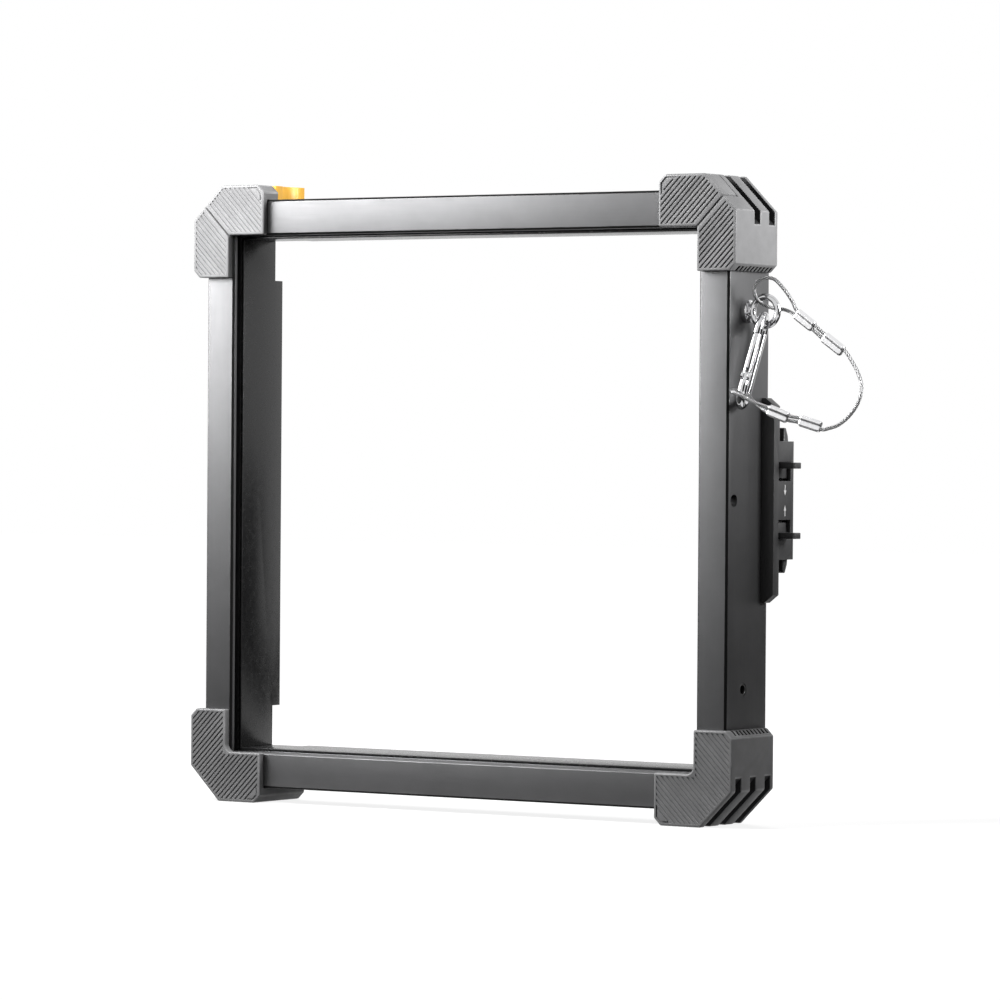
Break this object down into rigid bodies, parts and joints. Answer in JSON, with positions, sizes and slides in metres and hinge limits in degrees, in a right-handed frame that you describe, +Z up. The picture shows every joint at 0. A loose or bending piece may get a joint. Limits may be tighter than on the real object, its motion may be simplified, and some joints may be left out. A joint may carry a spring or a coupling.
{
  "type": "slide-in accessory frame",
  "caption": "Square front frame for a panel light: grooved rails, ribbed corner bumpers, a lift gate with an orange release, sprung squeeze latches and a wire rope safety tether.",
  "frame": {"origin": "centre of the square opening, on the rear seat plane that meets the light", "axes": "+X to the right seen from the front, +Y towards the light, +Z up"},
  "size_m": [0.4405, 0.0637, 0.35],
  "materials": {
    "rail": "dark grey anodised, satin",
    "corner_block": "moulded",
    "bumper": "fine moulded texture",
    "liner": "fine texture",
    "fastener": "zinc plated",
    "release": "moulded, satin",
    "spring": "drawn wire",
    "latch_body": "moulded, satin",
    "latch_bolt": "moulded, satin",
    "bright_steel": "polished plating",
    "rope": "stranded wire",
    "ferrule": "crimped"
  },
  "bodies": {
    "frame": {"left_rail": "rail", "right_rail": "rail", "bottom_rail": "rail", "top_beam": "rail", "bottom_left_corner": "corner_block", "bottom_right_corner": "corner_block", "top_left_corner": "corner_block", "top_right_corner": "corner_block", "bottom_left_bumper": "bumper", "bottom_right_bumper": "bumper", "top_left_bumper": "bumper", "top_right_bumper": "bumper", "liner_left": "liner", "liner_right": "liner", "liner_top": "liner", "liner_bottom": "liner", "corner_screws": "fastener", "gate_hinge_pin": "fastener", "threaded_inserts": "fastener", "release_spring": "spring", "right_latch_housing": "latch_body", "right_latch_cover": "latch_body", "right_upper_spring": "spring", "right_lower_spring": "spring", "right_latch_screws": "fastener", "left_latch_housing": "latch_body", "left_latch_cover": "latch_body", "left_upper_spring": "spring", "left_lower_spring": "spring", "left_latch_screws": "fastener", "eye_bolt": "bright_steel"},
    "gate": {"gate_rail": "rail", "gate_left_bumper": "bumper", "gate_right_bumper": "bumper", "gate_screws": "fastener"},
    "release": {"gate_release": "release", "release_keeper": "fastener", "release_screw": "fastener"},
    "tether": {"safety_cable": "rope", "cable_ferrules": "ferrule", "hook_body": "bright_steel", "hook_rivet": "fastener"},
    "hook_gate": {"hook_gate": "bright_steel"},
    "right_upper_bolt": {"right_upper_bolt": "latch_bolt"},
    "right_lower_bolt": {"right_lower_bolt": "latch_bolt"},
    "left_upper_bolt": {"left_upper_bolt": "latch_bolt"},
    "left_lower_bolt": {"left_lower_bolt": "latch_bolt"}
  },
  "joints": [
    {"name": "gate_hinge", "type": "hinge", "parent": "frame", "child": "gate", "pos_m": [0.1591, -0.038, 0.1706], "axis": [0, 1, 0], "range_deg": [0, 90]},
    {"name": "release_slide", "type": "slide", "parent": "frame", "child": "release", "axis": [-1, 0, 0], "range_m": [0, 0.0055], "stiffness_N_per_m": 600, "springref_m": -0.004, "deforming": ["release_spring"]},
    {"name": "right_upper_squeeze", "type": "slide", "parent": "frame", "child": "right_upper_bolt", "axis": [0, 0, -1], "range_m": [0, 0.0065], "stiffness_N_per_m": 400, "springref_m": -0.004, "deforming": ["right_upper_spring"]},
    {"name": "right_lower_squeeze", "type": "slide", "parent": "frame", "child": "right_lower_bolt", "axis": [0, 0, 1], "range_m": [0, 0.0065], "stiffness_N_per_m": 400, "springref_m": -0.004, "deforming": ["right_lower_spring"]},
    {"name": "left_upper_squeeze", "type": "slide", "parent": "frame", "child": "left_upper_bolt", "axis": [0, 0, -1], "range_m": [0, 0.0065], "stiffness_N_per_m": 400, "springref_m": -0.004, "deforming": ["left_upper_spring"]},
    {"name": "left_lower_squeeze", "type": "slide", "parent": "frame", "child": "left_lower_bolt", "axis": [0, 0, 1], "range_m": [0, 0.0065], "stiffness_N_per_m": 400, "springref_m": -0.004, "deforming": ["left_lower_spring"]},
    {"name": "tether_swing", "type": "hinge", "parent": "frame", "child": "tether", "pos_m": [0.18374, -0.024, 0.0939], "axis": [1, 0, 0], "range_deg": [-8, 8], "stiffness_Nm_per_rad": 0.06},
    {"name": "hook_gate_hinge", "type": "hinge", "parent": "tether", "child": "hook_gate", "pos_m": [0.18405, -0.04111, 0.06673], "axis": [-0.913, -0.3498, 0.2099], "range_deg": [0, 25], "stiffness_Nm_per_rad": 0.02, "springref_deg": -17.19}
  ]
}
